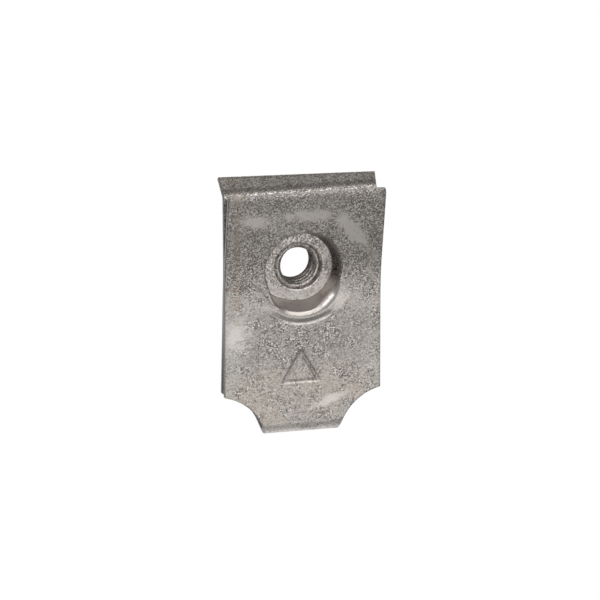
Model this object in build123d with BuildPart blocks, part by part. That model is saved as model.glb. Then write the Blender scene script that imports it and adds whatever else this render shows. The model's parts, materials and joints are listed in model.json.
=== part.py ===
"""U clip speed nut: one strip of spring steel folded into a U, with a drawn cup and a
threaded barrel in the front leaf, and a window for them in the back leaf.

The clip lies on its back, the way it comes to rest: on the edge of its fold and on the
rim of its barrel. X runs across the strip, +Y from the fold to the open mouth, +Z up.
"""

import os
from math import asin, atan2, cos, hypot, radians, sin, tan

from build123d import *

# ---- driving dimensions, mm and degrees --------------------------------------------
sheet = 0.7  # spring steel
width = 21.0  # front leaf, across
back_width = 20.6  # back leaf, across
corner_r = 0.2  # corners of the blank

fold_r = 1.6  # outside of the fold
front_length = 33.0  # fold to the front leaf's top edge
flare_start = 17.8  # where the front leaf begins to lean forward
flare_r = 30.0
flare_angle = 11.5

pinch_angle = 4.5  # the back leaf leans in towards the front leaf
pinch_length = 19.0
spread_r = 30.0
spread_angle = 6.0  # ... and then away from it again
spread_length = 8.0
lip_r = 0.6  # inside of the lip's bend
lip_angle = 42.0
lip_length = 2.2

notch_r = 7.2  # hollow notches that narrow the fold to a neck
notch_x = 12.0
notch_y = -1.46

bore_y = 22.1  # fold to the thread's axis
bore_r = 2.5  # M6 thread, at its crests
mouth_r = 3.3  # lead-in at the cup's floor
barrel_r = 3.45  # outside of the barrel
barrel_depth = 5.9  # front face to the barrel's end
barrel_root_cut = 0.3
barrel_rim_cut = 0.15

cup_depth = 2.1  # front face to the cup's floor
cup_r = 4.6  # where the floor and the wall would meet
cup_slope = 75.0  # the wall, from the floor's plane
cup_corner_cut = 0.25
shoulder_r = 1.2  # rounding from the front face into the cup

window_r = 7.2  # clearance hole in the back leaf

# ---- how it lies -------------------------------------------------------------------
# A straight line under the fold touches the barrel's rim: reach along the leaf and drop
# below it, both from the centre of the fold.
reach = bore_y - barrel_r - fold_r
drop = barrel_depth - fold_r
lie = atan2(drop, reach) - asin(fold_r / hypot(reach, drop))

leaf = Plane(
    origin=(0, 0, fold_r * (1 + cos(lie) - sin(lie))),
    x_dir=(1, 0, 0),
    z_dir=(0, -sin(lie), cos(lie)),
)  # the front leaf's flat face, from the fold
side = Plane(origin=leaf.origin, x_dir=leaf.y_dir, z_dir=leaf.x_dir)
bore_foot = leaf.origin + leaf.y_dir * bore_y
bore_side = Plane(origin=bore_foot, x_dir=leaf.y_dir, z_dir=leaf.x_dir)
bore_axis = Axis(bore_foot, leaf.z_dir)

# ---- sizes that follow -------------------------------------------------------------
clear = 8.0  # cutters run this far past the metal
cup_top = clear / 2  # the cup is drawn this tall before it is cut back
parting = 1.1 * sheet  # a depth between the two leaves

flare_end = flare_start + flare_r * sin(radians(flare_angle))
flare_length = (front_length - flare_end) / cos(radians(flare_angle))
flare_rise = flare_r * (1 - cos(radians(flare_angle)))
flare_tip = (front_length, flare_rise + flare_length * sin(radians(flare_angle)))

slope = radians(cup_slope)
cup_under = cup_depth + sheet
outer_cup_r = cup_r + sheet * (1 / sin(slope) - 1 / tan(slope))


def wall_r(foot_r, foot_depth):
    """Radius at the cup's full height of a wall that slopes up from a foot."""
    return foot_r + (cup_top + foot_depth) / tan(slope)


def spot(edge):
    """The middle of an edge, seen from the front leaf's flat face."""
    return leaf.to_local_coords(edge.center())


def is_corner(edge):
    """Whether an edge runs through the sheet at a corner of the blank."""
    through = abs(edge.length - sheet) < sheet / 10
    return through and not notch_r < spot(edge).Y < front_length - 3 * corner_r


def ring(radius, depth):
    """The round edges of a radius at a depth below the front leaf's flat face."""
    circles = clip.edges().filter_by(GeomType.CIRCLE)
    near = sheet / 50
    return [
        edge
        for edge in circles
        if abs(edge.radius - radius) < near and abs(spot(edge).Z + depth) < near
    ]


def top_edges(cone):
    """The edges where a sloping wall of the cup runs out into the leaf."""
    middle = spot(cone).Z
    curves = [edge for edge in cone.edges() if edge.geom_type != GeomType.LINE]
    return [edge for edge in curves if spot(edge).Z > middle - sheet]


with BuildPart() as clip:
    # The strip: its outer face from the top edge round the fold to the lip.
    with BuildSketch(side):
        with BuildLine():
            flat = Line((flare_start, 0), (fold_r, 0))
            fold = JernArc(flat @ 1, flat % 1, fold_r, 180 + pinch_angle)
            pinch = Line(fold @ 1, fold @ 1 + (fold % 1) * pinch_length)
            spread = JernArc(pinch @ 1, pinch % 1, spread_r, -spread_angle)
            back = Line(spread @ 1, spread @ 1 + (spread % 1) * spread_length)
            lip_bend = JernArc(back @ 1, back % 1, lip_r, -lip_angle)
            Line(lip_bend @ 1, lip_bend @ 1 + (lip_bend % 1) * lip_length)
            flare = JernArc(flat @ 0, -(flat % 0), flare_r, flare_angle)
            Line(flare @ 1, flare_tip)
            offset(amount=sheet, side=Side.LEFT)
        make_face()
    extrude(amount=width / 2, both=True)

    # The back leaf is a little narrower, and has a window for the cup and the barrel.
    with BuildSketch(side.offset(back_width / 2), side.offset(-back_width / 2 - clear)):
        with BuildLine():
            Polyline(
                (2 * fold_r, -parting),
                (front_length + clear, -parting),
                (front_length + clear, -clear),
                (2 * fold_r, -clear),
                close=True,
            )
        make_face()
    extrude(amount=clear, mode=Mode.SUBTRACT)
    with BuildSketch(leaf.offset(-parting)):
        with Locations((0, bore_y)):
            Circle(window_r)
    extrude(amount=-clear, mode=Mode.SUBTRACT)

    # The notches either side of the fold, and the corners that they leave.
    with BuildSketch(leaf):
        with Locations((notch_x, notch_y), (-notch_x, notch_y)):
            Circle(notch_r)
    extrude(amount=clear, both=True, mode=Mode.SUBTRACT)
    fillet(clip.edges().filter_by(is_corner), corner_r)

    # The cup and the barrel, filled and too tall, then cut back to the front leaf's face.
    with BuildSketch(bore_side):
        with BuildLine():
            Polyline(
                (0, cup_top),
                (0, -barrel_depth),
                (barrel_r, -barrel_depth),
                (barrel_r, -cup_under),
                (outer_cup_r, -cup_under),
                (wall_r(outer_cup_r, cup_under), cup_top),
                close=True,
            )
        make_face()
    revolve(axis=bore_axis)
    with BuildSketch(side):
        with BuildLine():
            Polyline((flare_start, 0), (fold_r, 0), (fold_r, clear), (front_length, clear))
            Line((front_length, clear), flare_tip)
            front = JernArc((flare_start, 0), (1, 0), flare_r, flare_angle)
            Line(front @ 1, flare_tip)
        make_face()
    extrude(amount=width / 2, both=True, mode=Mode.SUBTRACT)

    # The cup's hollow, the bore, and the drawn roundings of both.
    with BuildSketch(bore_side):
        with BuildLine():
            Polyline(
                (0, cup_top),
                (0, -cup_depth),
                (cup_r, -cup_depth),
                (wall_r(cup_r, cup_depth), cup_top),
                close=True,
            )
        make_face()
    revolve(axis=bore_axis, mode=Mode.SUBTRACT)
    with Locations(Plane(origin=bore_foot, z_dir=leaf.z_dir)):
        Hole(bore_r)

    inner_wall = clip.faces().filter_by(GeomType.CONE).sort_by(SortBy.AREA)[0]
    fillet(top_edges(inner_wall), shoulder_r)
    outer_wall = clip.faces().filter_by(GeomType.CONE).sort_by(SortBy.AREA)[-1]
    fillet(top_edges(outer_wall), shoulder_r - sheet)
    chamfer(ring(cup_r, cup_depth), cup_corner_cut)
    fillet(ring(outer_cup_r, cup_under), cup_corner_cut + sheet)
    chamfer(ring(bore_r, cup_depth), mouth_r - bore_r)
    chamfer(ring(barrel_r, cup_under), barrel_root_cut)
    chamfer(ring(barrel_r, barrel_depth), barrel_rim_cut)

# The origin is under the middle of the clip, on the surface that it lies on.
clip.part = Pos(Y=-clip.part.bounding_box().center().Y) * clip.part
clip.part.label = "clip"

os.makedirs("parts", exist_ok=True)
export_step(clip.part, "parts/clip.step")
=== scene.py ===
"""U clip speed nut: one strip of zinc-plated spring steel, folded into a U.

The front leaf has a drawn cup and a threaded barrel, and the back leaf has a window
for them. The thread's axis and the panel slot of the packed part give the front leaf's
own axes: X across, Y from the fold to the mouth, Z out of its flat face.
"""

import json
from math import asin, atan, atan2, cos, hypot, pi, radians, sin, sqrt, tan
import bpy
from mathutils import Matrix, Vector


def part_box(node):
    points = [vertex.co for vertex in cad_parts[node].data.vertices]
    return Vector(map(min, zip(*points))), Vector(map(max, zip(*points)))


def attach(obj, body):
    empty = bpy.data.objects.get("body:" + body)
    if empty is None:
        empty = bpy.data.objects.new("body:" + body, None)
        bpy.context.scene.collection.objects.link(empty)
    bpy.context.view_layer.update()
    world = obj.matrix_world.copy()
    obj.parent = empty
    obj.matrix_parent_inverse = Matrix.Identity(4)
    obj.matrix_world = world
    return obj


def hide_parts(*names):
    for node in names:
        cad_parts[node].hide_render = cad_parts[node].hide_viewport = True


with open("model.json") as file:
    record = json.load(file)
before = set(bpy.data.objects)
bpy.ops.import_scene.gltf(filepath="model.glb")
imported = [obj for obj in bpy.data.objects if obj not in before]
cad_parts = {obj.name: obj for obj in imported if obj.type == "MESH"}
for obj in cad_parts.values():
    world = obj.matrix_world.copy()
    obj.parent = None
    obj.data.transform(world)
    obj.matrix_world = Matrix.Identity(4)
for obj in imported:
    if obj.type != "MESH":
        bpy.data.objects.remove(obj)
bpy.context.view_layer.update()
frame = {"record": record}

from types import SimpleNamespace

import bmesh
import bpy
from bpy.props import FloatProperty, FloatVectorProperty, IntProperty, PointerProperty
from mathutils import Matrix, Vector

bl_info = {
    "name": "U Clip Speed Nut",
    "version": (1, 0, 0),
    "blender": (4, 5, 0),
    "location": "View3D > Sidebar > U Clip",
    "description": "Builds a folded U clip with a drawn cup and a threaded barrel",
    "category": "Object",
}

MM = 0.001
NEAR = 0.1 * MM  # room between the notches, the window and the rows beside them
SETTLE = 12  # rounds of finding where the cup's rounding starts on the leaning leaf
SIDE = 80  # columns across the strip, and points on each side of a square of rings
ROUND_CUP = 1.7  # the loops round the cup start at this many floor radii

mounts = {mount["name"]: mount for mount in frame["record"]["mounts"]}


# ---- sizes and colours ---------------------------------------------------------------


def length(name, description, millimetres):
    """A length for the sidebar, given in millimetres and kept in metres."""
    return FloatProperty(
        name=name,
        description=description,
        default=millimetres * MM,
        precision=5,
        subtype="DISTANCE",
        unit="LENGTH",
    )


def angle(name, description, degrees):
    """An angle for the sidebar, given in degrees and kept in radians."""
    return FloatProperty(
        name=name,
        description=description,
        default=radians(degrees),
        subtype="ANGLE",
        unit="ROTATION",
    )


def colour(name, description, red, green, blue):
    """A colour for the sidebar."""
    return FloatVectorProperty(
        name=name,
        description=description,
        default=(red, green, blue),
        size=3,
        min=0.0,
        max=1.0,
        subtype="COLOR",
    )


def share(name, description, default, top=1.0):
    """A plain amount for the sidebar."""
    return FloatProperty(
        name=name, description=description, default=default, min=0.0, max=top
    )


class StripSizes(bpy.types.PropertyGroup):
    """The folded strip."""

    sheet: length("Sheet", "Thickness of the spring steel", 0.7)
    width: length("Front width", "Front leaf, across", 21.0)
    back_width: length("Back width", "Back leaf, across", 20.6)
    corner_r: length("Corner radius", "Corners of the blank", 0.2)
    edge_r: length("Edge radius", "Rounding of the sheared edges", 0.1)
    fold_r: length("Fold radius", "Outside of the fold", 1.6)
    front_length: length("Front length", "Fold to the front leaf's top edge", 33.0)
    flare_start: length("Flare start", "Where the front leaf begins to lean", 17.8)
    flare_r: length("Flare radius", "Bend of the lean", 30.0)
    flare_angle: angle("Flare", "How far the front leaf's end leans forward", 11.5)
    flare_twist: length("Flare twist", "How much further its right corner leans", 0.5)
    pinch_angle: angle("Pinch", "How far the back leaf leans inwards", 4.5)
    pinch_length: length("Pinch length", "Straight part after the fold", 19.0)
    spread_r: length("Spread radius", "Bend back outwards", 30.0)
    spread_angle: angle("Spread", "Turn back outwards", 6.0)
    spread_length: length("Spread length", "Straight part up to the lip", 8.0)
    lip_r: length("Lip radius", "Inside of the lip's bend", 0.6)
    lip_angle: angle("Lip", "Turn of the lip", 42.0)
    lip_length: length("Lip length", "Bend to the lip's tip", 2.2)
    lip_skew: length("Lip skew", "How much longer the lip is on its left", 0.35)
    lip_spread: length("Lip spread", "How much the lip widens to its tip", 0.15)
    notch_r: length("Notch radius", "Hollow notches beside the fold", 7.2)
    notch_x: length("Notch place across", "Middle line to a notch's centre", 12.0)
    notch_y: length("Notch place along", "Fold to a notch's centre", -1.46)
    window_r: length("Window radius", "Hole in the back leaf", 7.2)


class CupSizes(bpy.types.PropertyGroup):
    """The drawn cup and its barrel."""

    bore_y: length("Bore place", "Fold to the thread's axis", 22.1)
    depth: length("Cup depth", "Front face to the cup's floor", 2.1)
    foot_r: length("Floor radius", "Where floor and wall would meet", 4.5)
    stretch: length("Stretch", "How much further one side reaches", 0.65)
    stretch_turn: angle("Stretched side", "Middle of the side that reaches out", -145.0)
    steepen: angle("Steeper wall", "How much steeper the wall is there", 20.0)
    slope: angle("Wall slope", "The wall, from the floor's plane", 75.0)
    pressed_slope: angle("Pressed slope", "The same on the pressed side", 57.0)
    corner_r: length("Foot rounding", "Inside, between the floor and the wall", 0.12)
    rim_r: length("Rim", "Rounding from the front face into the cup", 0.28)
    shoulder_r: length("Shoulder", "The same on the pressed side", 1.45)
    shoulder_slope: angle("Shoulder slope", "Where the shoulder meets the rim", 38.0)
    worn_turn: angle("Worn side", "Where the rim is rounded off further", -40.0)
    worn_rim_r: length("Worn rim", "Rim on the worn side", 0.8)
    worn_shoulder_r: length("Worn shoulder", "Shoulder on the worn side", 2.1)
    mouth_r: length("Mouth radius", "Where the lead-in meets the floor", 3.3)
    bore_r: length("Bore radius", "Barrel's wall between the turns", 3.0)
    barrel_r: length("Barrel radius", "Outside of the barrel", 3.45)
    barrel_depth: length("Barrel depth", "Front face to the barrel's end", 5.9)
    press_turn: angle("Pressed side", "Middle of the side pressed harder", -78.0)
    slope_turn: angle("Sloping side", "Middle of the side with less slope", -100.0)
    ring_turn: angle("Press mark side", "Middle of the ring's deepest part", -92.0)
    ring_r: length("Press mark radius", "Ring left by the drawing die", 7.06)
    ring_outer: length("Press mark's outer side", "From its bottom outwards", 0.42)
    ring_inner: length("Press mark's inner side", "From its bottom inwards", 0.75)
    ring_depth: length("Press mark depth", "At its deepest", 0.15)
    crease_turn: angle("Crease side", "Middle of a short crease beside the rim", -143.0)
    crease_r: length("Crease radius", "Ring on which the crease lies", 6.1)
    crease_width: length("Crease width", "From its bottom to either side", 0.25)
    crease_depth: length("Crease depth", "At its deepest", 0.07)


class MarkSizes(bpy.types.PropertyGroup):
    """The plain stamped triangle."""

    place_x: length("Place across", "Middle line to the mark's centre", -0.2)
    place_y: length("Place along", "Fold to the mark's centre", 8.5)
    size: length("Size", "Centre to a corner", 2.7)
    stroke: length("Stroke", "Width of the stamped line", 0.55)
    depth: length("Depth", "Depth of the stamped line", 0.13)


class ThreadSizes(bpy.types.PropertyGroup):
    """The thread's turns."""

    pitch: length("Pitch", "From turn to turn", 1.0)
    crest_r: length("Crest radius", "Inside of the thread", 2.5)
    crest_width: length("Crest width", "Flat on top of a turn", 0.2)
    root_width: length("Root width", "Foot of a turn", 0.95)
    sunk: length("Sunk", "How deep the turns' feet lie in the barrel's wall", 0.08)
    first: length("First turn", "Front face to the middle of the first turn", 2.15)
    run_out: angle("Run out", "Turn of the helix about the bore", 130.0)
    steps: IntProperty(
        name="Steps", description="Points along each turn", default=96, min=12
    )


class ZincFinish(bpy.types.PropertyGroup):
    """The zinc finish."""

    # Also the colour of the painted highlight on the fold and the painted light in the
    # bore.
    light: colour("Light zinc", "Fresh, smooth zinc", 0.66, 0.62, 0.585)
    body: colour("Zinc", "Most of the surface", 0.50, 0.464, 0.43)
    dark: colour("Dull zinc", "Dark specks and stains", 0.17, 0.155, 0.14)
    warm: colour("Warm zinc", "Brownish tone near the fold", 0.56, 0.50, 0.44)
    # Painted reflection: the lighter, pinkish tone laid on the cup's drawn wall.
    burnished_sheen: colour("Burnished zinc", "The drawn wall of the cup", 0.88, 0.80, 0.76)
    chromate: colour("Chromate", "Greenish tint at the edges", 0.54, 0.54, 0.485)
    rust: colour("Rust", "Faint rust along one edge", 0.30, 0.20, 0.13)
    # The sheared edges' dark colour is partly painted shade, laid where they face
    # sideways.
    edge: colour("Sheared edge", "Bare steel at the strip's sides", 0.10, 0.10, 0.10)


class StageSettings(bpy.types.PropertyGroup):
    """Camera, lamps and floor."""

    azimuth: angle("Azimuth", "Camera's turn to the left of the leaf", 15.3)
    elevation: angle("Elevation", "Camera's tilt towards the mouth", 15.9)
    distance: length("Distance", "Camera to the point that it looks at", 1000.0)
    aim_x: length("Aim across", "Point that the camera looks at, across", -0.38)
    aim_y: length("Aim along", "Point that the camera looks at, along", 18.14)
    lens: share("Lens", "Focal length in millimetres", 462.4, 1000.0)
    floor: colour("Floor", "Colour of the floor", 0.8, 0.8, 0.8)


# ---- the strip -----------------------------------------------------------------------


def leaf_place(cup):
    """Turns the front leaf's own axes into the part's."""
    thread, slot = mounts["thread"], mounts["panel_slot"]
    out, along_leaf = Vector(thread["axis"]), Vector(slot["axis"])
    end = Vector(thread["pos_m"]) - out * thread["dims"]["length_mm"] * MM / 2
    fold = end + out * cup.barrel_depth - along_leaf * cup.bore_y
    axes = Matrix((along_leaf.cross(out), along_leaf, out)).transposed()
    return Matrix.Translation(fold) @ axes.to_4x4()


def smooth_min(one, other, blend):
    """The smaller of two heights, rounded where they cross."""
    near = max(blend - abs(one - other), 0.0) / blend
    return min(one, other) - near * near * blend / 4


def smooth_step(value):
    """Eases from 0 to 1."""
    value = min(max(value, 0.0), 1.0)
    return value * value * (3 - 2 * value)


def spaced(start, end, count):
    """Numbers from start to end, both included."""
    return [start + (end - start) * i / count for i in range(count + 1)]


def leaf_height(strip, x, y, under):
    """Height of the front leaf, a distance under its front face."""
    run = y - strip.flare_start
    if run <= 0.0:
        return -under
    twist = strip.flare_twist * x / strip.width
    twist *= smooth_step(run / (strip.front_length - strip.flare_start))
    radius = strip.flare_r + under
    reach = radius * sin(strip.flare_angle)
    if run <= reach:
        return strip.flare_r - sqrt(radius * radius - run * run) + twist
    top = strip.flare_r - radius * cos(strip.flare_angle)
    return top + (run - reach) * tan(strip.flare_angle) + twist


def near_side(turn, side, low, high):
    """A share from 0 to 1 for directions near one side of the cup."""
    return smooth_step((cos(turn - side) - low) / (high - low))


def press_mark(cup, x, y):
    """Depth of the marks that the drawing die has left round the cup."""
    radius, turn = hypot(x, y), atan2(y, x)
    out = radius - cup.ring_r
    if out > 0.0:
        ring = smooth_step(1 - out / cup.ring_outer)
    else:
        ring = max(1 + out / cup.ring_inner, 0.0)
    crease = smooth_step(1 - abs(radius - cup.crease_r) / cup.crease_width)
    ring *= cup.ring_depth * near_side(turn, cup.ring_turn, 0.68, 0.9)
    crease *= cup.crease_depth * near_side(turn, cup.crease_turn, 0.9, 0.98)
    return ring + crease


def wall_shape(cup, turn, under):
    """Slope, foot, shoulder and rim of the drawn wall in one direction."""
    pressed = near_side(turn, cup.press_turn, 0.45, 0.85)
    sloping = near_side(turn, cup.slope_turn, 0.55, 0.95)
    worn = pressed * near_side(turn, cup.worn_turn, 0.8, 0.98)
    stretched = max(cos(turn - cup.stretch_turn), 0.0) ** 10
    slope = cup.slope + (cup.pressed_slope - cup.slope) * sloping
    slope += cup.steepen * stretched
    foot_r = cup.foot_r + cup.stretch * stretched
    foot_r += under * (1 - cos(slope)) / sin(slope)
    shoulder_r = cup.rim_r + (cup.shoulder_r - cup.rim_r) * pressed
    shoulder_r += (cup.worn_shoulder_r - cup.shoulder_r) * worn
    rim_r = cup.rim_r + (cup.worn_rim_r - cup.rim_r) * worn
    least = cup.rim_r / 2
    return slope, foot_r, max(shoulder_r - under, least), max(rim_r - under, least)


def cup_section(strip, cup, turn, under, steps):
    """The drawn wall in one direction from the thread's axis: points from the face,
    over the shoulder and down the wall to the floor."""
    across_leaf, up_leaf = cos(turn), sin(turn)

    def face(radius):
        y = cup.bore_y + radius * up_leaf
        return leaf_height(strip, radius * across_leaf, y, under)

    slope, foot_r, shoulder_r, rim_r = wall_shape(cup, turn, under)
    middle = cup.shoulder_slope
    floor = -cup.depth - under
    corner_r = cup.corner_r + under

    # From the face a wide rounding leads to a tight one, and that to the wall.
    start, lean = foot_r, 0.0
    for _ in range(SETTLE):
        lean = atan((face(start + corner_r) - face(start)) / corner_r)
        inwards = shoulder_r * (sin(middle) - sin(lean))
        inwards += rim_r * (sin(slope) - sin(middle))
        drop = shoulder_r * (cos(lean) - cos(middle))
        drop += rim_r * (cos(middle) - cos(slope))
        wall_top = face(start) - drop
        start = foot_r + (wall_top - floor) / tan(slope) + inwards

    radii = spaced(cup.foot_r * ROUND_CUP, start, steps)[:-1]
    section = [(radius, face(radius)) for radius in radii]
    for heading in spaced(lean, middle, steps):
        radius = start - shoulder_r * (sin(heading) - sin(lean))
        height = face(start) - shoulder_r * (cos(lean) - cos(heading))
        section.append((radius, height))
    radius, height = section[-1]
    for heading in spaced(middle, slope, steps)[1:]:
        inwards = rim_r * (sin(heading) - sin(middle))
        drop = rim_r * (cos(middle) - cos(heading))
        section.append((radius - inwards, height - drop))
    foot = foot_r - corner_r * tan(slope / 2)
    for heading in spaced(slope, 0.0, 6):
        height = floor + corner_r * (1 - cos(heading))
        section.append((foot + corner_r * sin(heading), height))

    points = []
    for radius, height in section:
        x, y = radius * across_leaf, radius * up_leaf
        marked = 0.0 if under else press_mark(cup, x, y)
        points.append(Vector((x, cup.bore_y + y, height - marked)))
    return points


def loop_turns():
    """Directions round the cup of a loop's points, from a square's first corner."""
    return [2 * pi * i / (4 * SIDE) - 3 * pi / 4 for i in range(4 * SIDE)]


def cup_loops(strip, cup, under, steps):
    """Loops of points from the face round the cup down to its floor."""
    sections = [cup_section(strip, cup, turn, under, steps) for turn in loop_turns()]
    return [list(loop) for loop in zip(*sections)]


def runs(strip):
    """The outer face from the flare, round the fold, to the lip: lengths and turns."""
    fold = pi + strip.pinch_angle
    return [
        (strip.flare_start - strip.fold_r, 0.0),
        (strip.fold_r * fold, fold),
        (strip.pinch_length, 0.0),
        (strip.spread_r * strip.spread_angle, -strip.spread_angle),
        (strip.spread_length, 0.0),
        (strip.lip_r * strip.lip_angle, -strip.lip_angle),
        (strip.lip_length, 0.0),
    ]


def run_lengths(strip):
    """Lengths of the runs along the outer face."""
    return [run for run, turn in runs(strip)]


def along(strip, distance):
    """Place and heading at a distance along the strip's outer face."""
    y, z, heading = strip.flare_start, 0.0, pi
    for run, turn in runs(strip):
        step = min(distance, run)
        bend = turn * step / run
        chord = step * sin(bend / 2) / (bend / 2) if bend else step
        y += chord * cos(heading + bend / 2)
        z += chord * sin(heading + bend / 2)
        heading += bend
        distance -= step
        if distance <= 0.0:
            break
    return y, z, heading


def on_strip(strip, x, distance, under):
    """A point a distance along the strip and some way under its outer face."""
    y, z, heading = along(strip, distance)
    return Vector((x, y - under * sin(heading), z + under * cos(heading)))


def half_width(strip, y, full):
    """Half of the strip's width between its rounded edges, at a place along it."""
    radius = strip.notch_r + strip.edge_r
    rise = y - strip.notch_y
    side = full / 2 - strip.edge_r
    if rise >= radius:
        return side
    notch = strip.notch_x - sqrt(radius * radius - rise * rise)
    return smooth_min(side, notch, strip.corner_r)


def mark_depth(mark, x, y):
    """Depth of the stamped triangle's outline."""
    here = Vector((x - mark.place_x, y - mark.place_y))
    if here.length > 2 * mark.size:
        return 0.0
    thirds = (0.0, 2 * pi / 3, 4 * pi / 3)
    corners = [Vector((sin(turn), cos(turn))) * mark.size for turn in thirds]
    gap = mark.size
    for one, other in zip(corners, corners[1:] + corners[:1]):
        side = other - one
        share_along = min(max((here - one).dot(side) / side.length_squared, 0.0), 1.0)
        gap = min(gap, (here - one - side * share_along).length)
    return mark.depth * smooth_step(1.5 * (1 - gap / (mark.stroke / 2)))


# ---- joining up the skin -------------------------------------------------------------


class Skin:
    """The sheet's outer and inner faces as they grow row by row from the cup's square,
    with the sides that are still open."""

    def __init__(self, shell, outer, inner):
        self.shell = shell
        self.outer, self.inner = outer, inner
        self.left, self.right = [], []

    def grow(self, outer_points, inner_points):
        """Adds a row of points to each face."""
        outer = add_row(self.shell, outer_points)
        inner = add_row(self.shell, inner_points)
        join(self.shell, self.outer, outer)
        join(self.shell, self.inner, inner)
        self.left.append((outer[0], inner[0]))
        self.right.append((outer[-1], inner[-1]))
        self.outer, self.inner = outer, inner


def across(index):
    """Place across the strip from -1 to 1, closer together in the middle."""
    place = 2 * index / SIDE - 1
    return place * (0.6 + 0.4 * place * place)


def square(half, low, high, corner_r=0.0):
    """A loop of points round a rectangle: bottom, right, top, left."""
    middle, reach = (low + high) / 2, (high - low) / 2
    points = [Vector((across(i) * half, low)) for i in range(SIDE)]
    points += [Vector((half, middle + across(i) * reach)) for i in range(SIDE)]
    points += [Vector((-across(i) * half, high)) for i in range(SIDE)]
    points += [Vector((-half, middle - across(i) * reach)) for i in range(SIDE)]
    for turn in (2 * SIDE, 3 * SIDE):
        corner = points[turn]
        inwards = Vector((-corner.x / half, -1.0)) * corner_r
        points[turn] = corner + inwards * (1 - sqrt(0.5))
    return points


def circle(radius, centre_y):
    """A loop of points round a circle, matched to the points of a square."""
    return [
        Vector((radius * cos(turn), centre_y + radius * sin(turn)))
        for turn in loop_turns()
    ]


def between(outer, inner, amount):
    """A loop part of the way from an outer loop to an inner one."""
    return [one.lerp(other, amount) for one, other in zip(outer, inner)]


def add_row(shell, points):
    """New points of the shell."""
    return [shell.verts.new(point) for point in points]


def join(shell, one, other, closed=False):
    """Faces between two rows or two loops of points."""
    count = len(one)
    for i in range(count if closed else count - 1):
        j = (i + 1) % count
        shell.faces.new((one[i], one[j], other[j], other[i]))


def join_loops(shell, loops):
    """Faces between each loop of points and the next."""
    for one, other in zip(loops, loops[1:]):
        join(shell, one, other, closed=True)


def round_edge(shell, outer, inner, radius):
    """Closes the gap between two faces of the sheet with a rounded sheared edge."""
    count = len(outer)
    sheared = shell.verts.layers.float["sheared"]
    steps = [(sin(t), 1 - cos(t)) for t in (pi / 6, pi / 3, pi / 2)]
    loops = [outer]
    for face, far in ((outer, inner), (inner, outer)):
        edge_loops = []
        for reach, drop in steps:
            points, sideways = [], []
            for i in range(count):
                through = (far[i].co - face[i].co).normalized()
                down = inner[i].co - outer[i].co
                before = down.cross(face[i].co - face[i - 1].co).normalized()
                after = down.cross(face[(i + 1) % count].co - face[i].co).normalized()
                out = (before + after) / (1 + before.dot(after))
                points.append(face[i].co + (out * reach + through * drop) * radius)
                sideways.append(abs(out.x))
            edge_loops.append(add_row(shell, points))
            # How far each point faces sideways, where the zinc colour paints the edge
            # darker as shade.
            for vert, amount in zip(edge_loops[-1], sideways):
                vert[sheared] = amount * reach
        loops += edge_loops if face is outer else edge_loops[::-1]
    join_loops(shell, [*loops, inner])


def on_leaf(strip, loop, under):
    """A flat loop laid on the front leaf, a distance under its front face."""
    return [Vector((p.x, p.y, leaf_height(strip, p.x, p.y, under))) for p in loop]


def front_square(shell, strip, cup):
    """The front leaf round its cup, then the cup, the bore and the barrel."""
    low = cup.bore_y - strip.width / 2
    half = strip.width / 2 - strip.edge_r
    tip = strip.front_length - strip.edge_r * cos(strip.flare_angle)
    hidden_tip = tip + strip.sheet * sin(strip.flare_angle)
    ring = circle(cup.foot_r * ROUND_CUP, cup.bore_y)
    face = square(half, low, tip, strip.corner_r)
    hidden = square(half, low, hidden_tip, strip.corner_r)

    loops = [
        on_leaf(strip, between(face, ring, amount), 0.0)
        for amount in spaced(0.0, 1.0, 10)[:-1]
    ]
    loops += cup_loops(strip, cup, 0.0, 18)
    barrel = [
        [Vector((p.x, p.y, -depth)) for p in circle(radius, cup.bore_y)]
        for radius, depth in barrel_profile(strip, cup)
    ]
    loops += [between(loops[-1], barrel[0], t) for t in spaced(0.0, 1.0, 6)[1:-1]]
    loops += barrel
    loops += cup_loops(strip, cup, strip.sheet, 5)[::-1]
    loops += [
        on_leaf(strip, between(ring, hidden, amount), strip.sheet)
        for amount in spaced(0.0, 1.0, 8)[1:]
    ]

    loops = [add_row(shell, loop) for loop in loops]
    join_loops(shell, loops)
    return loops[0], loops[-1]


def barrel_profile(strip, cup):
    """Radius and depth from the cup's floor, through the bore, to outside its root."""
    floor, end = cup.depth, cup.barrel_depth
    lead = cup.mouth_r - cup.bore_r
    cut = 0.15 * MM  # corners of the barrel's end
    under = floor + strip.sheet
    return [
        (cup.mouth_r, floor),
        (cup.mouth_r - 0.2 * lead, floor + 0.06 * lead),
        (cup.mouth_r - 0.45 * lead, floor + 0.2 * lead),
        (cup.mouth_r - 0.7 * lead, floor + 0.42 * lead),
        (cup.bore_r + 0.08 * lead, floor + 0.75 * lead),
        (cup.bore_r, floor + 1.1 * lead),
        (cup.bore_r, (floor + end) / 2),
        (cup.bore_r, end - cut),
        (cup.bore_r + cut, end),
        (cup.barrel_r - cut, end),
        (cup.barrel_r, end - cut),
        (cup.barrel_r, (under + end) / 2),
        (cup.barrel_r, under + 2 * cut),
        (cup.barrel_r + 0.6 * cut, under + 0.6 * cut),
    ]


def window_span(strip, cup):
    """Distances where the square round the window starts and ends, and its centre."""
    lengths = run_lengths(strip)
    end = sum(lengths[:5])
    flat_end = sum(lengths[:3])
    centre = flat_end + cup.bore_y - along(strip, flat_end)[0]
    return 2 * centre - end + NEAR, centre, end - NEAR


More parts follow.
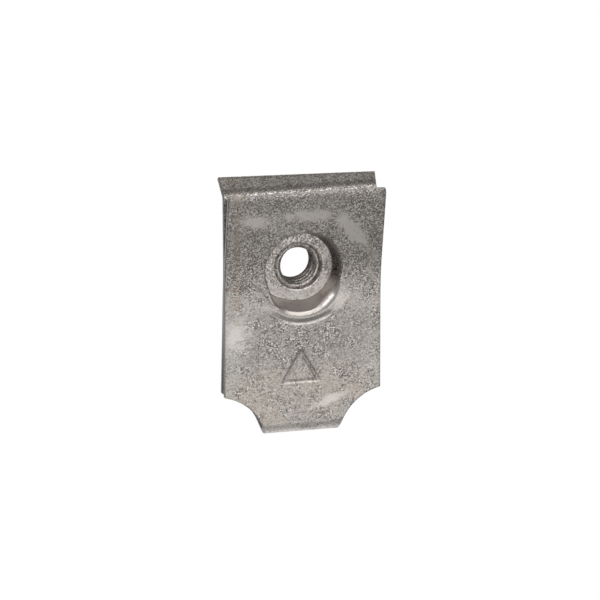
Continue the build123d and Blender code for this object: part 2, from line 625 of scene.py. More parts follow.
def leaf_rows(strip, cup, window_start):
    """Distances of the rows from the cup's square, round the fold, to the window's."""
    notch_top = strip.notch_y + strip.notch_r
    above, below = notch_top + NEAR, notch_top - 3 * NEAR
    top_turn = asin((strip.notch_r - 3 * NEAR) / strip.notch_r)
    fold_turn = asin((strip.fold_r - strip.notch_y) / strip.notch_r)
    plain = spaced(cup.bore_y - strip.width / 2, above, 46)[:-1]
    notched = spaced(above, below, 14)
    for turn in spaced(top_turn, fold_turn, 26)[1:]:
        notched.append(strip.notch_y + strip.notch_r * sin(turn))

    fold_start, fold_run = run_lengths(strip)[:2]
    fold_end = fold_start + fold_run
    foot_y = along(strip, fold_end)[0]
    front = [strip.flare_start - y for y in plain + notched]
    fold = spaced(fold_start, fold_end, 26)[1:]
    back = [fold_end + max(y - foot_y, 0.0) for y in reversed(notched)][1:]
    rows = [row for row in (front + fold + back)[1:] if row < window_start - NEAR]
    return rows + spaced(rows[-1], window_start, 10)[1:]


def grow_leaves(skin, strip, mark, distances):
    """The front leaf below its cup, the fold, and the back leaf up to its window."""
    fold_middle = sum(run_lengths(strip)[:2]) - strip.fold_r * pi / 2
    for distance in distances:
        front = distance < fold_middle
        full = strip.width if front else strip.back_width
        rows = []
        for under in (0.0, strip.sheet):
            y = on_strip(strip, 0.0, distance, under).y
            half = half_width(strip, y, full)
            row = []
            for x in (across(i) * half for i in range(SIDE + 1)):
                stamped = mark_depth(mark, x, y) if front and not under else 0.0
                row.append(on_strip(strip, x, distance, under + stamped))
            rows.append(row)
        skin.grow(*rows)


def grow_window(skin, strip, start, centre, end):
    """The back leaf round its window."""
    half = strip.back_width / 2 - strip.edge_r
    border = square(half, start, end)
    hole = circle(strip.window_r + strip.edge_r, centre)
    flat_loops = [between(border, hole, amount) for amount in spaced(0.0, 1.0, 9)]
    faces = []
    for under, bottom in ((0.0, skin.outer), (strip.sheet, skin.inner)):
        loops = []
        for flat in flat_loops:
            points = [on_strip(strip, p.x, p.y, under) for p in flat]
            if loops:
                loops.append(add_row(skin.shell, points))
            else:
                loops.append(bottom + add_row(skin.shell, points[SIDE + 1 :]))
        join_loops(skin.shell, loops)
        faces.append(loops)

    outer, inner = faces
    round_edge(skin.shell, outer[-1], inner[-1], strip.edge_r)
    sides = list(zip(outer[0], inner[0]))
    skin.right += sides[SIDE + 1 : 2 * SIDE + 1]
    skin.left += sides[: 3 * SIDE - 1 : -1]
    skin.outer = outer[0][2 * SIDE : 3 * SIDE + 1][::-1]
    skin.inner = inner[0][2 * SIDE : 3 * SIDE + 1][::-1]


def lip_point(strip, place, half, distance, out_along, under):
    """A point of the lip, past its bend skewed towards the left."""
    y, z, heading = along(strip, distance)
    y += -under * sin(heading) - strip.lip_skew * place * out_along * cos(heading)
    z += under * cos(heading) - strip.lip_skew * place * out_along * sin(heading)
    return Vector((place * half, y, z))


def grow_lip(skin, strip):
    """The lip, a little longer on its left and wider at its tip."""
    tip = sum(run_lengths(strip)) - strip.edge_r
    lip_start = tip - strip.lip_length + strip.edge_r
    bend_start = lip_start - strip.lip_r * strip.lip_angle
    distances = spaced(bend_start, lip_start, 6) + spaced(lip_start, tip, 8)[1:]
    for distance in distances:
        out_along = max(distance - lip_start, 0.0) / (tip - lip_start)
        half = strip.back_width / 2 - strip.edge_r + strip.lip_spread * out_along
        rows = [
            [
                lip_point(strip, across(i), half, distance, out_along, under)
                for i in range(SIDE + 1)
            ]
            for under in (0.0, strip.sheet)
        ]
        skin.grow(*rows)


def folded_strip(strip, cup, mark):
    """The whole clip as one closed skin, in the front leaf's own axes."""
    shell = bmesh.new()
    shell.verts.layers.float.new("sheared")
    face, hidden = front_square(shell, strip, cup)
    skin = Skin(shell, face[: SIDE + 1], hidden[: SIDE + 1])
    start, centre, end = window_span(strip, cup)
    grow_leaves(skin, strip, mark, leaf_rows(strip, cup, start))
    grow_window(skin, strip, start, centre, end)
    grow_lip(skin, strip)

    square_sides = list(zip(face, hidden))
    top = square_sides[SIDE:] + square_sides[:1]
    tip = list(zip(skin.outer, skin.inner))[1:-1]
    outline = top + skin.left + tip + skin.right[::-1]
    round_edge(shell, [p[0] for p in outline], [p[1] for p in outline], strip.edge_r)
    bmesh.ops.recalc_face_normals(shell, faces=shell.faces)
    return shell


# ---- nodes ---------------------------------------------------------------------------

VECTOR, FLOAT = "NodeSocketVector", "NodeSocketFloat"


def add_node(tree, kind, inputs=None, **settings):
    """A node with its settings, and its inputs set or joined up."""
    node = tree.nodes.new(kind)
    for name, value in settings.items():
        setattr(node, name, value)
    for name, value in (inputs or {}).items():
        if isinstance(value, bpy.types.NodeSocket):
            tree.links.new(value, node.inputs[name])
        else:
            node.inputs[name].default_value = value
    return node


def result(tree, output, kind, inputs=None, **settings):
    """One output of a new node."""
    return add_node(tree, kind, inputs, **settings).outputs[output]


def maths(tree, operation, *values, clamp=False):
    """The result of a Math node."""
    inputs = dict(enumerate(values))
    return result(
        tree, "Value", "ShaderNodeMath", inputs, operation=operation, use_clamp=clamp
    )


def vector_maths(tree, operation, *values, output="Vector"):
    """The result of a Vector Math node."""
    inputs = dict(enumerate(values))
    return result(tree, output, "ShaderNodeVectorMath", inputs, operation=operation)


def times(tree, value, *others):
    """Values multiplied together."""
    for other in others:
        value = maths(tree, "MULTIPLY", value, other)
    return value


def highest(tree, value, *others):
    """The highest of several values."""
    for other in others:
        value = maths(tree, "MAXIMUM", value, other)
    return value


def step_between(tree, value, low, high):
    """A mask that goes smoothly from 0 at low to 1 at high."""
    return result(
        tree,
        "Result",
        "ShaderNodeMapRange",
        {"Value": value, "From Min": low, "From Max": high},
        interpolation_type="SMOOTHSTEP",
    )


def band(tree, value, low, full_low, full_high, high):
    """A mask that is 1 between two values and 0 outside two others."""
    return times(
        tree,
        step_between(tree, value, low, full_low),
        step_between(tree, value, high, full_high),
    )


def facing(tree, direction, degrees, low, high):
    """A mask for directions near one side, given as a turn from the X axis."""
    side = (cos(radians(degrees)), sin(radians(degrees)), 0.0)
    near = vector_maths(tree, "DOT_PRODUCT", direction, side, output="Value")
    return step_between(tree, near, low, high)


def turned_flat(tree, vector, turn):
    """A vector turned about the Z axis."""
    return result(
        tree,
        "Vector",
        "ShaderNodeVectorRotate",
        {"Vector": vector, "Angle": turn},
        rotation_type="Z_AXIS",
    )


def noise(tree, vector, scale, detail=2.0, roughness=0.5, distortion=0.0):
    """A noise texture's value."""
    return result(
        tree,
        "Fac",
        "ShaderNodeTexNoise",
        {
            "Vector": vector,
            "Scale": scale,
            "Detail": detail,
            "Roughness": roughness,
            "Distortion": distortion,
        },
    )


def rgba(tint):
    """A colour with full alpha."""
    return (*tint, 1.0)


def over(tree, base, tint, *amounts):
    """A plain colour laid over another, as far as all the amounts let it."""
    return result(
        tree,
        "Result",
        "ShaderNodeMix",
        {"Factor": times(tree, *amounts), "A": base, "B": rgba(tint)},
        data_type="RGBA",
    )


def new_group(name, inputs, outputs):
    """A shader node group with named sockets, its inputs and its end node."""
    tree = bpy.data.node_groups.new(name, "ShaderNodeTree")
    for socket, kind, value in inputs:
        new = tree.interface.new_socket(socket, in_out="INPUT", socket_type=kind)
        if value is not None:
            new.default_value = value
    for socket in outputs:
        tree.interface.new_socket(socket, in_out="OUTPUT", socket_type=FLOAT)
    given = tree.nodes.new("NodeGroupInput").outputs
    return tree, given, tree.nodes.new("NodeGroupOutput")


def masks_of(tree, group, vector, names, places):
    """The highest of a group's masks, used once for each place on the leaf."""
    masks = []
    for values in places:
        inputs = {"Vector": vector, **dict(zip(names, values))}
        masks.append(result(tree, "Mask", "ShaderNodeGroup", inputs, node_tree=group))
    return highest(tree, *masks)


def speckle_group():
    """Crystals of zinc: fine light and dark flecks, in patches of their own."""
    tree, given, end = new_group(
        "Zinc speckle",
        [
            ("Vector", VECTOR, None),
            ("Fleck size", FLOAT, 0.3),
            ("Contrast", FLOAT, 1.0),
        ],
        ["Flecks", "Height"],
    )
    scale = maths(tree, "DIVIDE", 1.0, given["Fleck size"])
    fine = noise(tree, given["Vector"], scale, 3.0, 0.75, 1.2)
    crystals = result(
        tree,
        "Color",
        "ShaderNodeTexVoronoi",
        {"Vector": given["Vector"], "Scale": scale, "Randomness": 1.0},
        feature="F1",
    )
    tone = result(tree, "Red", "ShaderNodeSeparateColor", {"Color": crystals})
    tone = maths(tree, "MULTIPLY_ADD", tone, 0.35, -0.175)
    height = maths(tree, "ADD", maths(tree, "SUBTRACT", fine, 0.5), tone)
    tree.links.new(times(tree, height, given["Contrast"]), end.inputs["Flecks"])
    tree.links.new(height, end.inputs["Height"])
    return tree


def patch_group():
    """One patch: an ellipse with a wandering edge, anywhere on the leaf."""
    tree, given, end = new_group(
        "Patch",
        [
            ("Vector", VECTOR, None),
            ("Centre", VECTOR, None),
            ("Size", VECTOR, (1.0, 1.0, 1.0)),
            ("Turn", FLOAT, 0.0),
            ("Softness", FLOAT, 0.3),
        ],
        ["Mask"],
    )
    off_centre = vector_maths(tree, "SUBTRACT", given["Vector"], given["Centre"])
    turned = turned_flat(tree, off_centre, given["Turn"])
    scaled = vector_maths(tree, "DIVIDE", turned, given["Size"])
    flat = vector_maths(tree, "MULTIPLY", scaled, (1.0, 1.0, 0.0))
    reach = vector_maths(tree, "LENGTH", flat, output="Value")
    wander = noise(tree, given["Vector"], 0.7, 6.0, 0.7, 1.0)
    wander = maths(tree, "SUBTRACT", wander, 0.5)
    reach = maths(tree, "MULTIPLY_ADD", wander, 2.6, reach)
    outside = maths(tree, "ADD", given["Softness"], 1.0)
    inside = maths(tree, "SUBTRACT", 1.0, given["Softness"])
    tree.links.new(step_between(tree, reach, outside, inside), end.inputs["Mask"])
    return tree


def hairline_group():
    """Fine scratches that run in one direction."""
    tree, given, end = new_group(
        "Hairline scratches",
        [
            ("Vector", VECTOR, None),
            ("Turn", FLOAT, 0.0),
            ("Length", FLOAT, 6.0),
            ("Spacing", FLOAT, 0.5),
            ("Amount", FLOAT, 0.5),
        ],
        ["Mask"],
    )
    bent = noise(tree, given["Vector"], 0.15, 1.0)
    turned = turned_flat(tree, given["Vector"], maths(tree, "ADD", given["Turn"], bent))
    stretch = result(
        tree,
        "Vector",
        "ShaderNodeCombineXYZ",
        {"X": given["Length"], "Y": given["Spacing"], "Z": given["Length"]},
    )
    drawn_out = vector_maths(tree, "DIVIDE", turned, stretch)
    lines = maths(tree, "SUBTRACT", noise(tree, drawn_out, 1.0, 2.0, 0.7), 0.5)
    thin = step_between(tree, maths(tree, "ABSOLUTE", lines), 0.012, 0.0)
    places = step_between(tree, noise(tree, given["Vector"], 0.35), 0.45, 0.6)
    mask = times(tree, thin, places, given["Amount"])
    tree.links.new(mask, end.inputs["Mask"])
    return tree


# ---- the zinc finish -----------------------------------------------------------------

BLACK = (0.0, 0.0, 0.0)

# Centre and size in millimetres on the front leaf, turn in radians, softness.
PATCH_NAMES = ("Centre", "Size", "Turn", "Softness")
SMOOTH_PATCHES = (
    ((0.4, 29.9, 0.0), (3.5, 0.85, 1.0), 0.1, 0.5),
    ((6.3, 27.5, 0.0), (3.3, 1.0, 1.0), 0.85, 0.25),
    ((-6.9, 29.5, 0.0), (2.3, 0.95, 1.0), 0.1, 0.6),
    ((-9.0, 14.0, 0.0), (1.7, 2.4, 1.0), 0.0, 0.9),
    ((3.4, 4.3, 0.0), (2.2, 0.5, 1.0), -0.35, 0.6),
)
DIRTY_PATCHES = (
    ((8.2, 30.3, 0.0), (2.3, 2.6, 1.0), 0.0, 0.5),
    ((-7.4, 22.8, 0.0), (1.5, 3.0, 1.0), 0.2, 0.5),
    ((-4.2, 31.9, 0.0), (2.6, 0.5, 1.0), 0.1, 0.5),
    ((1.8, 27.2, 0.0), (3.0, 1.0, 1.0), 0.3, 0.6),
    ((-2.0, 13.2, 0.0), (5.5, 1.8, 1.0), 0.1, 0.9),
)

# Stretches along the front leaf, in millimetres from the fold: a mask is 0 at the
# first and 1 at the second, and one of four is 1 up to the third and 0 at the fourth.
# The fold's painted highlight lies in this stretch.
FOLD_HIGHLIGHT = (1.8, 0.9)
WARM = (13.0, 6.0)
SHADED = (7.5, 11.0, 15.0, 18.0)
UPPER = (17.0, 24.0)
PALE_SIDES = (15.0, 11.0)
RUSTED = (14.0, 20.0)
UNDER_LIP = (33.4, 32.8)

# Sides of the cup, as turns from the X axis in degrees.
BURNISHED_TURN = -80.0
# The side of the cup's wall that gets a painted dark reflection.
DARK_REFLECTION_TURN = 22.0

# Turn in radians, length and spacing in millimetres, strength.
SCRATCH_NAMES = ("Turn", "Length", "Spacing", "Amount")
SCRATCHES = ((0.3, 5.0, 0.5, 0.35), (1.7, 6.0, 0.6, 0.3), (2.5, 4.0, 0.5, 0.3))


def new_material(name):
    """A material with an empty node tree."""
    material = bpy.data.materials.new(name)
    material.use_nodes = True
    material.node_tree.nodes.clear()
    return material, material.node_tree


def clip_places(tree, cup):
    """The front leaf's own axes in millimetres, and masks of the clip's features."""
    to_leaf = leaf_place(cup).inverted()
    leaf = result(
        tree,
        "Vector",
        "ShaderNodeMapping",
        {
            "Vector": result(tree, "Object", "ShaderNodeTexCoord"),
            "Location": to_leaf.to_translation() / MM,
            "Rotation": to_leaf.to_euler(),
            "Scale": (1 / MM, 1 / MM, 1 / MM),
        },
    )
    axes = add_node(tree, "ShaderNodeSeparateXYZ", {"Vector": leaf}).outputs
    off_bore = vector_maths(tree, "ADD", leaf, (0.0, -cup.bore_y / MM, 0.0))
    off_bore = vector_maths(tree, "MULTIPLY", off_bore, (1.0, 1.0, 0.0))
    from_bore = vector_maths(tree, "LENGTH", off_bore, output="Value")
    around = vector_maths(tree, "NORMALIZE", off_bore)

    # The cup's wall and floor, its burnished shoulder, and the bore's lead-in.
    foot, mouth, bore = (r / MM for r in (cup.foot_r, cup.mouth_r, cup.bore_r))
    floor_z = -cup.depth / MM
    at_floor = step_between(tree, axes["Z"], floor_z + 0.2, floor_z + 0.05)
    above_floor = step_between(tree, axes["Z"], floor_z + 0.05, floor_z + 0.2)
    under_face = step_between(tree, axes["Z"], -0.1, -0.5)
    wall = band(tree, from_bore, foot - 0.2, foot, foot + 1.5, foot + 1.8)
    wall = times(tree, wall, under_face, above_floor)
    floor = step_between(tree, from_bore, foot + 1.4, foot + 1.1)
    shoulder = band(tree, from_bore, foot + 0.1, foot + 0.4, foot + 2.7, foot + 3.0)
    shoulder = times(tree, shoulder, facing(tree, around, BURNISHED_TURN, 0.35, 0.8))
    lead_in = band(tree, from_bore, bore + 0.05, bore + 0.12, mouth + 0.02, mouth + 0.1)

    # The back leaf inside the clip, below its lip: painted shade where the front leaf
    # shades it.
    behind = step_between(tree, axes["Z"], -1.2, -1.9)
    outside_cup = step_between(tree, from_bore, foot + 1.7, foot + 2.5)
    under_lip = step_between(tree, axes["Y"], *UNDER_LIP)
    return SimpleNamespace(
        leaf=leaf,
        x=axes["X"],
        y=axes["Y"],
        wall=wall,
        # The cup's far wall, where the zinc colour paints a dark reflection.
        far_wall=times(tree, wall, facing(tree, around, DARK_REFLECTION_TURN, 0.6, 0.85)),
        floor=times(tree, at_floor, floor),
        drawn=highest(tree, wall, shoulder),
        # Inside the mouth and the bore, where the zinc colour paints light.
        mouth=step_between(tree, from_bore, mouth + 0.1, mouth),
        lead_in=lead_in,
        hidden=times(tree, behind, outside_cup, under_lip),
        upper=step_between(tree, axes["Y"], *UPPER),
    )


def zinc_wear(tree, places):
    """Masks of the zinc's flecks, stains, dirt, smooth patches and scratches."""
    leaf = places.leaf
    speckle = add_node(
        tree,
        "ShaderNodeGroup",
        {"Vector": leaf, "Fleck size": 0.15, "Contrast": 3.0},
        node_tree=speckle_group(),
    ).outputs
    mottle = noise(tree, leaf, 0.45, 5.0, 0.65, 0.6)
    patch = patch_group()
    smooth = masks_of(tree, patch, leaf, PATCH_NAMES, SMOOTH_PATCHES)
    dirty = masks_of(tree, patch, leaf, PATCH_NAMES, DIRTY_PATCHES)
    plain = highest(tree, times(tree, smooth, 0.85), times(tree, places.drawn, 0.75))
    rough = maths(tree, "SUBTRACT", 1.0, plain)

    # Stains spread further where it is dirty and towards the top, and flecks are
    # strongest in them and weakest on the smooth patches.
    spread = times(tree, maths(tree, "SUBTRACT", places.upper, 0.45), 0.12)
    spread = maths(tree, "MULTIPLY_ADD", dirty, 0.11, spread)
    stains = step_between(tree, maths(tree, "SUBTRACT", mottle, spread), 0.58, 0.4)
    fleck_share = maths(tree, "MULTIPLY_ADD", stains, 0.6, 0.38)
    return SimpleNamespace(
        crystals=speckle["Height"],
        flecks=speckle["Flecks"],
        tone=times(tree, speckle["Flecks"], fleck_share, rough),
        mottle=mottle,
        smooth=smooth,
        dirty=dirty,
        rough=rough,
        stains=stains,
        scratches=masks_of(tree, hairline_group(), leaf, SCRATCH_NAMES, SCRATCHES),
    )


def zinc_colour(tree, finish, places, wear):
    """The zinc's colour, from its tint to the marks on it, with painted light and shade
    in places.
    """
    x, y = places.x, places.y

    # Warmer towards the fold; darker from the mark to the cup, and painted shade over
    # the upper part.
    cloud = step_between(tree, noise(tree, places.leaf, 0.13, 3.0, 0.5), 0.35, 0.6)
    warmth = step_between(tree, y, *WARM)
    base = over(tree, rgba(finish.body), finish.warm, warmth, cloud)
    shade = times(tree, band(tree, y, *SHADED), 0.2)
    shade = maths(tree, "MULTIPLY_ADD", places.upper, 0.2, shade)
    base = over(tree, base, BLACK, shade)

    # Lighter zinc on the cup's floor, a painted highlight on the fold, painted light in
    # the bore, a painted reflection on the drawn wall, and a greenish tint at the
    # sides.
    fold = step_between(tree, y, *FOLD_HIGHLIGHT)
    fresh_zinc_and_painted_light = highest(tree, times(tree, places.floor, 0.35), fold, places.mouth)
    base = over(tree, base, finish.light, fresh_zinc_and_painted_light)
    # A painted reflection lightens the cup's drawn wall.
    base = over(tree, base, finish.burnished_sheen, places.wall)
    at_side = step_between(tree, maths(tree, "ABSOLUTE", x), 7.5, 9.5)
    low_down = step_between(tree, y, *PALE_SIDES)
    base = over(tree, base, finish.chromate, at_side, low_down, 0.6)

    # Stains, dirt, smooth patches, flecks and scratches.
    base = over(tree, base, finish.dark, wear.stains, wear.rough, 0.5)
    sooty = step_between(tree, wear.mottle, 0.65, 0.35)
    base = over(tree, base, finish.dark, wear.dirty, sooty, 0.55)
    base = over(tree, base, finish.light, wear.smooth, 0.85)
    dark_flecks = maths(tree, "MULTIPLY", wear.tone, -2.6, clamp=True)
    light_flecks = maths(tree, "MULTIPLY", wear.tone, 2.6, clamp=True)
    base = over(tree, base, finish.dark, dark_flecks)
    base = over(tree, base, finish.light, light_flecks)
    base = over(tree, base, finish.light, wear.scratches)

    # Painted shade on the back leaf between the leaves, where the front leaf shades it.
    base = over(tree, base, BLACK, places.hidden, 0.5)
    # A painted dark reflection on the cup's far wall, mottled by the flecks.
    painted_dark_reflection = maths(tree, "MULTIPLY_ADD", wear.flecks, 0.8, 0.78, clamp=True)
    base = over(tree, base, BLACK, places.far_wall, painted_dark_reflection)

    # A faint rust streak down the left edge, and the sheared edges darker: duller
    # steel, with painted shade where they face sideways.
    off_streak = maths(tree, "ABSOLUTE", maths(tree, "ADD", x, 9.0))
    streak = step_between(tree, off_streak, 1.2, 0.0)
    broken = step_between(tree, noise(tree, places.leaf, 0.8, 4.0, 0.7), 0.35, 0.65)
    rusted = step_between(tree, y, *RUSTED)
    base = over(tree, base, finish.rust, streak, broken, rusted, 0.45)
    sheared = result(tree, "Fac", "ShaderNodeAttribute", attribute_name="sheared")
    return over(tree, base, finish.edge, sheared, 0.85)


def zinc_roughness(tree, places, wear):
    """Dull, and a little smoother on the patches and where the die has burnished it."""
    rough = maths(tree, "MULTIPLY_ADD", wear.tone, -0.25, 0.36)
    rough = maths(tree, "MULTIPLY_ADD", wear.smooth, -0.05, rough)
    shoulder = maths(tree, "MULTIPLY_ADD", places.wall, -0.8, places.drawn)
    burnished_sheen = highest(tree, shoulder, places.lead_in)
    return maths(tree, "MULTIPLY_ADD", burnished_sheen, -0.16, rough)


def zinc_normal(tree, wear):
    """Fine relief: crystals, a slow unevenness and the scratches."""
    height = times(tree, wear.crystals, wear.rough)
    height = maths(tree, "MULTIPLY_ADD", wear.mottle, 0.8, height)
    height = maths(tree, "MULTIPLY_ADD", wear.scratches, -0.4, height)
    relief = {"Height": height, "Strength": 0.35, "Distance": 0.05 * MM}
    return result(tree, "Normal", "ShaderNodeBump", relief)


def zinc_steel(scene):
    """Dull zinc on spring steel, mottled and scratched, with a few smooth patches."""
    name = "zinc_steel_finish"
    if name in bpy.data.materials:
        return bpy.data.materials[name]
    material, tree = new_material(name)
    places = clip_places(tree, scene.clip_cup)
    wear = zinc_wear(tree, places)
    shader = add_node(
        tree,
        "ShaderNodeBsdfPrincipled",
        {
            "Base Color": zinc_colour(tree, scene.clip_finish, places, wear),
            "Metallic": 0.9,
            "Roughness": zinc_roughness(tree, places, wear),
            "Normal": zinc_normal(tree, wear),
        },
    )
    surface = {"Surface": shader.outputs["BSDF"]}
    add_node(tree, "ShaderNodeOutputMaterial", surface)
    return material


# ---- pieces --------------------------------------------------------------------------


def finish_piece(scene, mesh, name):
    """Puts a mesh in its place on the part and gives it the zinc finish."""
    mesh.name = name
    mesh.transform(leaf_place(scene.clip_cup))
    mesh.shade_smooth()
    mesh.materials.clear()
    mesh.materials.append(zinc_steel(scene))
    piece = bpy.data.objects.new(name, mesh)
    scene.collection.objects.link(piece)
    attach(piece, "root")
    return piece


class CLIP_OT_folded_strip(bpy.types.Operator):
    """Make the folded strip with its cup, barrel, window and lip"""

    bl_idname = "clip.folded_strip"
    bl_label = "Folded Strip"

    def execute(self, context):
        scene = context.scene
        shell = folded_strip(scene.clip_strip, scene.clip_cup, scene.clip_mark)
        mesh = bpy.data.meshes.new("folded_strip")
        shell.to_mesh(mesh)
        shell.free()
        piece = finish_piece(scene, mesh, "folded_strip")
        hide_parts("clip")
        return {"FINISHED"}


THREAD_INPUTS = {
    "Turns": "NodeSocketFloat",
    "Steps": "NodeSocketInt",
    "Pitch": "NodeSocketFloat",
    "Foot radius": "NodeSocketFloat",
    "Crest radius": "NodeSocketFloat",
    "Crest width": "NodeSocketFloat",
    "Root width": "NodeSocketFloat",
    "Cut off": "NodeSocketFloat",
    "Material": "NodeSocketMaterial",
}


def thread_helix(tree, given):
    """The thread's path up the bore, and how it swells from the bore's wall."""
    middle = maths(tree, "ADD", given["Foot radius"], given["Crest radius"])
    middle = times(tree, middle, 0.5)
    helix = result(
        tree,
        "Curve",
        "GeometryNodeCurveSpiral",
        {
            "Resolution": given["Steps"],
            "Rotations": given["Turns"],
            "Start Radius": middle,
            "End Radius": middle,
            "Height": times(tree, given["Turns"], given["Pitch"]),
        },
    )
    helix = result(
        tree, "Curve", "GeometryNodeSetCurveNormal", {"Curve": helix}, mode="Z_UP"
    )
    factor = result(tree, "Factor", "GeometryNodeSplineParameter")
    swell = result(
        tree,
        "Result",
        "ShaderNodeMapRange",
        {"Value": factor, "From Min": 1.0, "From Max": 0.88, "To Min": 0.05},
        interpolation_type="SMOOTHSTEP",
    )
    return helix, swell


def thread_tree():
    """Geometry nodes that sweep a thread's profile along a helix."""
    tree = bpy.data.node_groups.new("Thread turns", "GeometryNodeTree")
    kind = "NodeSocketGeometry"
    tree.interface.new_socket("Geometry", in_out="INPUT", socket_type=kind)
    tree.interface.new_socket("Geometry", in_out="OUTPUT", socket_type=kind)
    for name, kind in THREAD_INPUTS.items():
        tree.interface.new_socket(name, in_out="INPUT", socket_type=kind)
    given = tree.nodes.new("NodeGroupInput").outputs
    end = tree.nodes.new("NodeGroupOutput")

    helix, swell = thread_helix(tree, given)
    profile = result(
        tree,
        "Curve",
        "GeometryNodeCurvePrimitiveQuadrilateral",
        {
            "Height": maths(
                tree, "SUBTRACT", given["Foot radius"], given["Crest radius"]
            ),
            "Bottom Width": given["Root width"],
            "Top Width": given["Crest width"],
            "Offset": 0.0,
        },
        mode="TRAPEZOID",
    )
    swept = sweep(tree, helix, profile, swell)

    # The last turn is cut off level with the barrel's end.
    position = result(tree, "Position", "GeometryNodeInputPosition")
    apart = add_node(tree, "ShaderNodeSeparateXYZ", {"Vector": position}).outputs
    above = maths(tree, "MAXIMUM", apart["Z"], given["Cut off"])
    below = maths(tree, "SUBTRACT", above, apart["Z"])
    level = maths(tree, "MULTIPLY_ADD", below, -0.015, above)
    place = {"X": apart["X"], "Y": apart["Y"], "Z": level}
    place = result(tree, "Vector", "ShaderNodeCombineXYZ", place)
    for kind, inputs in (
        ("GeometryNodeSetPosition", {"Position": place}),
        ("GeometryNodeRealizeInstances", {}),
        ("GeometryNodeSetMaterial", {"Material": given["Material"]}),
    ):
        swept = result(tree, "Geometry", kind, {"Geometry": swept, **inputs})
    tree.links.new(swept, end.inputs["Geometry"])
    return tree


def sweep(tree, path, profile, swell):
    """A profile swept along a path, with its size at each point of it."""
    swept = {"Curve": path, "Profile Curve": profile, "Scale": swell, "Fill Caps": True}
    return result(tree, "Mesh", "GeometryNodeCurveToMesh", swept)


def made_by_nodes(scene, tree, values):
    """The mesh that a geometry node tree makes."""
    holder = bpy.data.objects.new("holder", bpy.data.meshes.new("holder"))
    scene.collection.objects.link(holder)
    modifier = holder.modifiers.new("nodes", "NODES")
    modifier.node_group = tree
    for item in tree.interface.items_tree:
        if item.in_out == "INPUT" and item.name in values:
            modifier[item.identifier] = values[item.name]
    graph = bpy.context.evaluated_depsgraph_get()
    mesh = bpy.data.meshes.new_from_object(holder.evaluated_get(graph))
    bpy.data.objects.remove(holder)
    return mesh


class CLIP_OT_thread(bpy.types.Operator):
    """Make the thread's turns inside the barrel"""

    bl_idname = "clip.thread"
    bl_label = "Thread"

    def execute(self, context):
        scene = context.scene
        cup, thread = scene.clip_cup, scene.clip_thread
        past = thread.root_width / 2
        values = {
            "Turns": (cup.barrel_depth + past - thread.first) / thread.pitch,
            "Steps": thread.steps,
            "Pitch": thread.pitch,
            "Foot radius": cup.bore_r + thread.sunk,
            "Crest radius": thread.crest_r,
            "Crest width": thread.crest_width,
            "Root width": thread.root_width,
            "Cut off": past + 0.02 * MM,
            "Material": zinc_steel(scene),
        }
        mesh = made_by_nodes(scene, thread_tree(), values)
        mesh.transform(Matrix.Rotation(thread.run_out, 4, "Z"))
        mesh.transform(Matrix.Translation((0.0, cup.bore_y, -cup.barrel_depth - past)))
        finish_piece(scene, mesh, "thread_turns")
        return {"FINISHED"}


# ---- stage ---------------------------------------------------------------------------

# Direction from the cup on the leaf's own axes, distance and size in metres, watts.
LAMPS = {
    "overhead_lamp": ((0.25, -0.24, 0.94), 0.6, (0.4, 0.34), 0.34),
    "mouth_lamp": ((0.2, 0.62, 0.76), 0.5, (0.45, 0.34), 0.75),
    "side_lamp": ((-0.36, 0.33, 0.87), 0.5, (0.16, 0.16), 0.24),
    "fold_lamp": ((0.25, -0.87, 0.42), 0.6, (0.4, 0.14), 0.12),
}
FLOOR_REACH = 0.8  # metres from the middle to each side
WHITE = (1.0, 1.0, 1.0)


def backdrop_material(name, tint):
    """Pale and plain, and white to the camera and in reflections."""
    material, tree = new_material(name)
    path = add_node(tree, "ShaderNodeLightPath").outputs
    seen = maths(tree, "ADD", path["Is Camera Ray"], path["Is Glossy Ray"])
    seen = maths(tree, "ADD", seen, path["Is Transmission Ray"], clamp=True)
    matt = result(tree, "BSDF", "ShaderNodeBsdfDiffuse", {"Color": rgba(tint)})
    glow = {"Color": rgba(WHITE), "Strength": 1.05}
    white = result(tree, "Emission", "ShaderNodeEmission", glow)
    mixed = {0: times(tree, seen, 0.93), 1: matt, 2: white}
    surface = result(tree, "Shader", "ShaderNodeMixShader", mixed)
    add_node(tree, "ShaderNodeOutputMaterial", {"Surface": surface})
    return material


def add_floor(scene, height):
    """A large pale floor that the clip lies on."""
    mesh = bpy.data.meshes.new("floor")
    corners = [(-1, -1), (1, -1), (1, 1), (-1, 1)]
    points = [(x * FLOOR_REACH, y * FLOOR_REACH, height) for x, y in corners]
    mesh.from_pydata(points, [], [(0, 1, 2, 3)])
    mesh.materials.append(backdrop_material("pale_floor", scene.clip_stage.floor))
    floor = bpy.data.objects.new("floor", mesh)
    scene.collection.objects.link(floor)


def add_sky(scene):
    """A dim white room, brighter overhead."""
    world = bpy.data.worlds.new("studio")
    world.use_nodes = True
    tree = world.node_tree
    tree.nodes.clear()
    towards = result(tree, "Generated", "ShaderNodeTexCoord")
    rise = result(tree, "Z", "ShaderNodeSeparateXYZ", {"Vector": towards})
    overhead = step_between(tree, rise, 0.4, 0.95)
    level = maths(tree, "MULTIPLY_ADD", overhead, 0.3, 0.2)
    sky = {"Color": rgba(WHITE), "Strength": level}
    surface = result(tree, "Background", "ShaderNodeBackground", sky)
    add_node(tree, "ShaderNodeOutputWorld", {"Surface": surface})
    scene.world = world


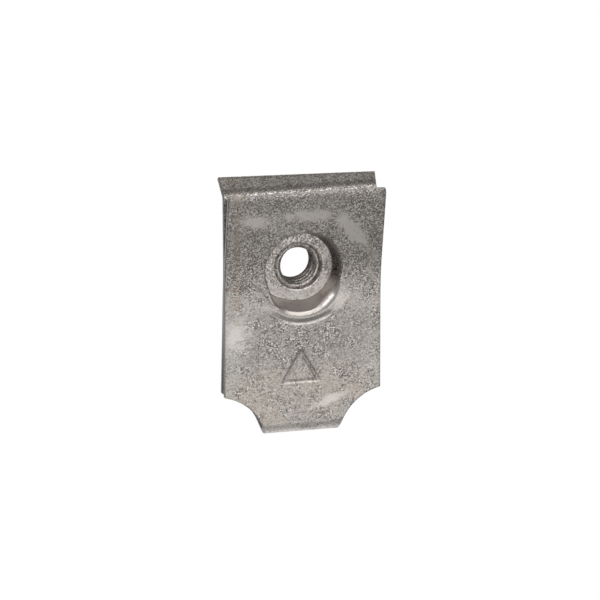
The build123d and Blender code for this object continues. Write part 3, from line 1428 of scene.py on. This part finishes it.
def add_camera(scene, place, aim):
    """A camera with a long lens, set by its turn and tilt from the front leaf."""
    stage = scene.clip_stage
    side, tilt = stage.azimuth, stage.elevation
    back = Vector((-sin(side) * cos(tilt), sin(tilt), cos(side) * cos(tilt)))
    right = Vector((cos(side), 0.0, sin(side)))
    axes = Matrix((right, back.cross(right), back)).transposed()
    turned = place.to_3x3()
    camera = bpy.data.objects.new("camera", bpy.data.cameras.new("camera"))
    camera.data.lens = stage.lens
    camera.data.sensor_width = 36.0
    camera.data.clip_start = 0.01
    seat = Matrix.Translation(aim + turned @ back * stage.distance)
    camera.matrix_world = seat @ (turned @ axes).to_4x4()
    scene.collection.objects.link(camera)
    scene.camera = camera


def add_lamp(scene, name, place, size, power, aim):
    """A soft square lamp that shines at a point."""
    data = bpy.data.lights.new(name, "AREA")
    data.shape = "RECTANGLE"
    data.size, data.size_y = size
    data.energy = power
    lamp = bpy.data.objects.new(name, data)
    lamp.location = place
    lamp.rotation_euler = (aim - place).to_track_quat("-Z", "Y").to_euler()
    scene.collection.objects.link(lamp)


class CLIP_OT_stage(bpy.types.Operator):
    """Set the floor, the soft lamps and the camera"""

    bl_idname = "clip.stage"
    bl_label = "Stage"

    def execute(self, context):
        scene = context.scene
        low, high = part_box("clip")
        place = leaf_place(scene.clip_cup)
        aim = place @ Vector((scene.clip_stage.aim_x, scene.clip_stage.aim_y, 0.0))
        add_floor(scene, low.z)
        add_sky(scene)
        add_camera(scene, place, aim)
        for name, (direction, away, size, power) in LAMPS.items():
            direction = (place.to_3x3() @ Vector(direction)).normalized()
            add_lamp(scene, name, aim + direction * away, size, power, aim)
        scene.view_settings.view_transform = "Standard"
        return {"FINISHED"}


# ---- add-on --------------------------------------------------------------------------


class CLIP_PT_panel(bpy.types.Panel):
    """The clip's pieces and sizes"""

    bl_idname = "CLIP_PT_panel"
    bl_label = "U Clip Speed Nut"
    bl_space_type = "VIEW_3D"
    bl_region_type = "UI"
    bl_category = "U Clip"

    def draw(self, context):
        layout, scene = self.layout, context.scene
        for operator in OPERATORS:
            layout.operator(operator.bl_idname)
        for name, kind in SETTINGS.items():
            box = layout.box()
            box.label(text=kind.__doc__)
            for field in kind.__annotations__:
                box.prop(getattr(scene, name), field)


OPERATORS = (CLIP_OT_folded_strip, CLIP_OT_thread, CLIP_OT_stage)
SETTINGS = {
    "clip_strip": StripSizes,
    "clip_cup": CupSizes,
    "clip_mark": MarkSizes,
    "clip_thread": ThreadSizes,
    "clip_finish": ZincFinish,
    "clip_stage": StageSettings,
}


def register():
    """Adds the classes and the scene's settings."""
    for kind in (*SETTINGS.values(), *OPERATORS, CLIP_PT_panel):
        bpy.utils.register_class(kind)
    for name, kind in SETTINGS.items():
        setattr(bpy.types.Scene, name, PointerProperty(type=kind))


def unregister():
    """Removes the classes and the scene's settings."""
    for name in SETTINGS:
        delattr(bpy.types.Scene, name)
    for kind in (CLIP_PT_panel, *OPERATORS[::-1], *list(SETTINGS.values())[::-1]):
        bpy.utils.unregister_class(kind)


def main():
    """Builds the clip on its stage."""
    register()
    bpy.ops.clip.folded_strip()
    bpy.ops.clip.thread()
    bpy.ops.clip.stage()


if __name__ == "__main__":
    main()
